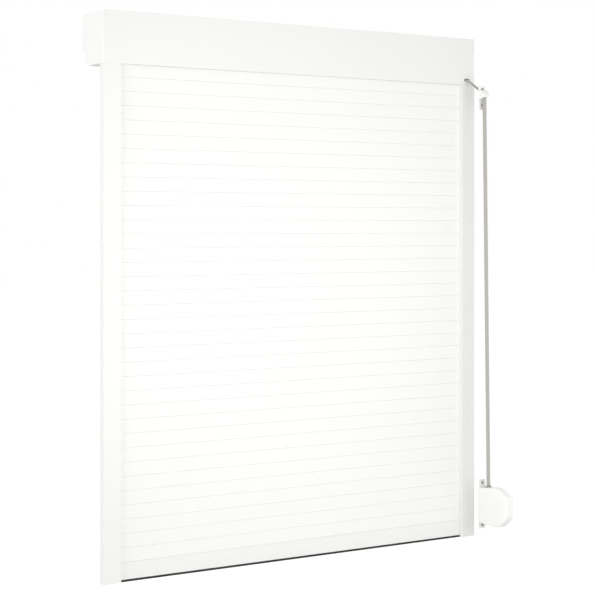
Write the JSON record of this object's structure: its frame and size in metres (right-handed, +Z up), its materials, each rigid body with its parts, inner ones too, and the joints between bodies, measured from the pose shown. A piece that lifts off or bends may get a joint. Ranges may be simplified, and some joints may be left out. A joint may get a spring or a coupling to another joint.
{
  "type": "exterior roller shutter",
  "caption": "Surface-mounted exterior roller shutter: square box with roll-up slat curtain, side rails, strap guide and coiling strap winder.",
  "frame": {"origin": "on the room-side mounting plane, midway between the rails, level with the rail feet", "axes": "+X along the width towards the strap side, +Y outwards away from the window frame, +Z up"},
  "size_m": [1.2, 0.3388, 1.48],
  "materials": {
    "white_painted_aluminium": "satin powder coat",
    "white_slat_plastic": "satin extruded",
    "white_moulded_plastic": "semi-gloss moulded",
    "black_rubber": "matt",
    "dark_plastic": "matt moulded",
    "galvanised_steel": "galvanised",
    "polished_steel": "ground and polished",
    "zinc_screws": "zinc plated",
    "grey_strap_webbing": "woven polyester"
  },
  "bodies": {
    "frame": {"bearing_outer_rings": "polished_steel", "bearing_rollers": "polished_steel", "box_room_profile": "white_painted_aluminium", "cover_screws": "zinc_screws", "guide_pin": "polished_steel", "guide_screws": "zinc_screws", "hanging_strap": "grey_strap_webbing", "inlet_guides": "white_moulded_plastic", "inspection_cover": "white_painted_aluminium", "left_end_cap": "white_moulded_plastic", "left_rail": "white_painted_aluminium", "lower_strap": "grey_strap_webbing", "outlet_pin": "polished_steel", "rail_gaskets": "black_rubber", "right_end_cap": "white_moulded_plastic", "right_rail": "white_painted_aluminium", "strap_guide": "white_moulded_plastic", "strap_outlet": "dark_plastic", "upper_strap": "grey_strap_webbing", "winder_axle": "polished_steel", "winder_base_plate": "white_moulded_plastic", "winder_case_left": "white_moulded_plastic", "winder_case_right": "white_moulded_plastic", "winder_case_screws": "zinc_screws", "winder_screws": "zinc_screws", "winder_slot_liner": "dark_plastic", "winder_spring": "polished_steel"},
    "curtain": {"slats_01_03": "white_slat_plastic", "slats_04_06": "white_slat_plastic", "slats_07_09": "white_slat_plastic", "slats_10_12": "white_slat_plastic", "slats_13_15": "white_slat_plastic", "slats_16_18": "white_slat_plastic", "slats_19_21": "white_slat_plastic", "slats_22_24": "white_slat_plastic", "slats_25_27": "white_slat_plastic", "slats_28_30": "white_slat_plastic", "slats_31_33": "white_slat_plastic", "slats_34_36": "white_slat_plastic", "end_slat": "white_painted_aluminium", "end_slat_seal": "black_rubber", "lift_stops": "black_rubber", "stop_screws": "zinc_screws", "slat_end_clips": "dark_plastic", "hangers": "galvanised_steel"},
    "shaft": {"octagonal_shaft": "galvanised_steel", "shaft_end_plug": "dark_plastic", "strap_disc": "dark_plastic", "upper_strap_coil": "grey_strap_webbing", "shaft_screws": "zinc_screws", "bearing_inner_rings": "polished_steel"},
    "outlet_roller": {"outlet_roller": "dark_plastic"},
    "guide_roller": {"guide_roller": "white_moulded_plastic"},
    "spool": {"winder_spool": "white_moulded_plastic", "lower_strap_coil": "grey_strap_webbing"}
  },
  "joints": [
    {"name": "curtain_lift", "type": "slide", "parent": "frame", "child": "curtain", "axis": [0, 0, 1], "range_m": [0, 1.3], "deforming": ["slats_01_03", "slats_04_06", "slats_07_09", "slats_10_12", "slats_13_15", "slats_16_18", "slats_19_21", "slats_22_24", "slats_25_27", "slats_28_30", "slats_31_33", "slats_34_36", "slat_end_clips", "hangers"]},
    {"name": "shaft_turn", "type": "hinge", "parent": "frame", "child": "shaft", "pos_m": [0, 0.068, 1.411], "axis": [-1, 0, 0], "range_deg": [0, 1640]},
    {"name": "outlet_roller_turn", "type": "hinge", "parent": "frame", "child": "outlet_roller", "pos_m": [0.572, 0.0055, 1.3552], "axis": [1, 0, 0], "range_deg": [0, 16650]},
    {"name": "guide_roller_turn", "type": "hinge", "parent": "frame", "child": "guide_roller", "pos_m": [0.572, -0.0775, 1.306], "axis": [1, 0, 0], "range_deg": [0, 13700]},
    {"name": "spool_turn", "type": "hinge", "parent": "frame", "child": "spool", "pos_m": [0.572, -0.136, 0.11], "axis": [-1, 0, 0], "range_deg": [0, 2160]}
  ],
  "couplings": [
    {"joint": "shaft_turn", "follows": "curtain_lift", "rad_per_m": 22},
    {"joint": "outlet_roller_turn", "follows": "curtain_lift", "rad_per_m": 223},
    {"joint": "guide_roller_turn", "follows": "curtain_lift", "rad_per_m": 183.5},
    {"joint": "spool_turn", "follows": "curtain_lift", "rad_per_m": 28.9}
  ]
}
